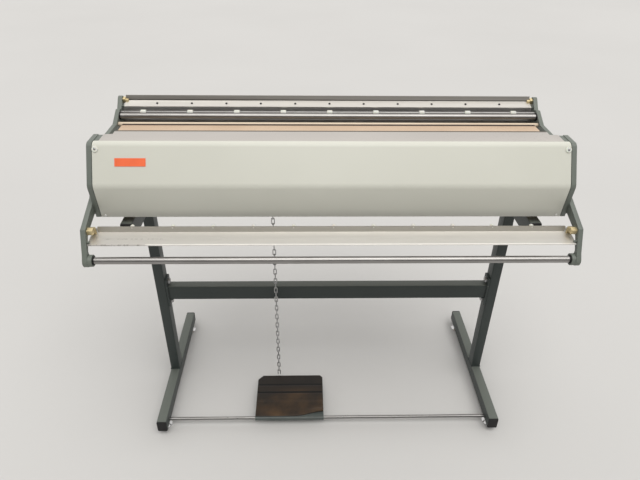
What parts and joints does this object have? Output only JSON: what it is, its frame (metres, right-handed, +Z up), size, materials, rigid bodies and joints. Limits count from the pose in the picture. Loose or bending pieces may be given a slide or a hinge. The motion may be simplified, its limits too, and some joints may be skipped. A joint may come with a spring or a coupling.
{
  "type": "paper folding machine",
  "caption": "Floor-standing treadle folding machine for wide sheets: clamp under a bent cover, hinged folding flaps and round bars at the upper back and lower front, chain-pulled rocker.",
  "frame": {"origin": "on the floor under the middle of the overall box", "axes": "+X along the machine to the operator's right, +Y to the back, +Z up"},
  "size_m": [1.2368, 0.556, 0.9409],
  "materials": {
    "frame_paint": "satin dark grey-green paint",
    "cover_paint": "fine satin light grey paint",
    "black_plastic": "moulded black plastic",
    "black_screws": "blackened steel",
    "chrome": "bright ground and plated bar",
    "steel": "plain machined steel",
    "zinc": "zinc-plated wire",
    "rubber": "worn black rubber",
    "bed_laminate": "speckled tan laminate",
    "brass": "dull machined brass",
    "white_nylon": "white nylon",
    "name_plate": "bare orange-red enamelled plate",
    "roller_cover": "tan covering on a steel core",
    "aluminium": "brushed mill-finish aluminium"
  },
  "bodies": {
    "stand": {"foot_left": "frame_paint", "foot_right": "frame_paint", "leg_column_left": "frame_paint", "leg_column_right": "frame_paint", "top_arm_left": "frame_paint", "top_arm_right": "frame_paint", "stretcher_beam": "frame_paint", "side_plate_left": "frame_paint", "side_plate_right": "frame_paint", "front_cross_rail": "frame_paint", "rear_cross_rail": "frame_paint", "cover_cheek_left": "frame_paint", "cover_cheek_right": "frame_paint", "rear_guide": "frame_paint", "stop_pins": "frame_paint", "cover_shell": "cover_paint", "tube_end_caps": "black_plastic", "bar_bushes": "black_plastic", "levelling_glides": "chrome", "stretcher_bolts": "steel", "treadle_rod": "steel", "rail_bolts": "steel", "deck_bolts": "steel", "bed_supports": "steel", "spring_seats": "steel", "return_springs": "steel", "cover_screws": "steel", "bed_plate": "bed_laminate", "shaft_bushes": "brass", "cover_washers": "white_nylon", "name_plate": "name_plate", "cover_top": "aluminium"},
    "pedal": {"pedal_plate": "frame_paint", "pedal_mat": "rubber", "pedal_eye": "zinc"},
    "chain": {"pedal_chain": "zinc", "chain_shackle": "steel"},
    "rocker": {"rocker_shaft": "steel", "chain_lever": "steel", "clamp_arm_left": "frame_paint", "clamp_arm_right": "frame_paint", "clamp_beam": "frame_paint", "clamp_strip": "rubber", "spring_arms": "steel"},
    "upper_flap_body": {"upper_flap": "aluminium", "upper_flap_screws": "black_screws", "upper_pivot_blocks": "brass"},
    "lower_flap_body": {"lower_flap": "aluminium", "lower_flap_studs": "white_nylon", "lower_pivot_blocks": "brass"},
    "upper_bar_body": {"upper_round_bar": "chrome"},
    "lower_bar_body": {"lower_round_bar": "chrome"},
    "pinch_body": {"pinch_wheels": "white_nylon", "pinch_wheel_shaft": "steel"},
    "bed_roller_body": {"bed_roller": "roller_cover"}
  },
  "joints": [
    {"name": "pedal_press", "type": "hinge", "parent": "stand", "child": "pedal", "pos_m": [0, -0.206, 0.024], "axis": [-1, 0, 0], "range_deg": [0, 11], "stiffness_Nm_per_rad": 60, "springref_deg": -9.74},
    {"name": "chain_pull", "type": "slide", "parent": "stand", "child": "chain", "axis": [0, 0, -1], "range_m": [0, 0.0325]},
    {"name": "rocker_turn", "type": "hinge", "parent": "stand", "child": "rocker", "pos_m": [0, 0.07707, 0.79], "axis": [1, 0, 0], "range_deg": [0, 16.21], "deforming": ["return_springs"]},
    {"name": "upper_flap_lift", "type": "hinge", "parent": "stand", "child": "upper_flap_body", "pos_m": [0, 0.198, 0.928], "axis": [-1, 0, 0], "range_deg": [0, 60]},
    {"name": "lower_flap_lift", "type": "hinge", "parent": "stand", "child": "lower_flap_body", "pos_m": [0, -0.235, 0.747], "axis": [1, 0, 0], "range_deg": [0, 60]},
    {"name": "upper_bar_spin", "type": "hinge", "parent": "stand", "child": "upper_bar_body", "pos_m": [0, 0.145, 0.899], "axis": [1, 0, 0], "continuous": true},
    {"name": "pinch_spin", "type": "hinge", "parent": "stand", "child": "pinch_body", "pos_m": [0, 0.16032, 0.90458], "axis": [1, 0, 0], "continuous": true},
    {"name": "lower_bar_spin", "type": "hinge", "parent": "stand", "child": "lower_bar_body", "pos_m": [0, -0.263, 0.68], "axis": [1, 0, 0], "continuous": true},
    {"name": "bed_roller_spin", "type": "hinge", "parent": "stand", "child": "bed_roller_body", "pos_m": [0, 0.122, 0.883], "axis": [1, 0, 0], "continuous": true}
  ],
  "couplings": [
    {"joint": "chain_pull", "follows": "pedal_press", "m_per_rad": 0.16883},
    {"joint": "rocker_turn", "follows": "pedal_press", "ratio": 1.473},
    {"joint": "pinch_spin", "follows": "upper_bar_spin", "ratio": -1.2857}
  ]
}
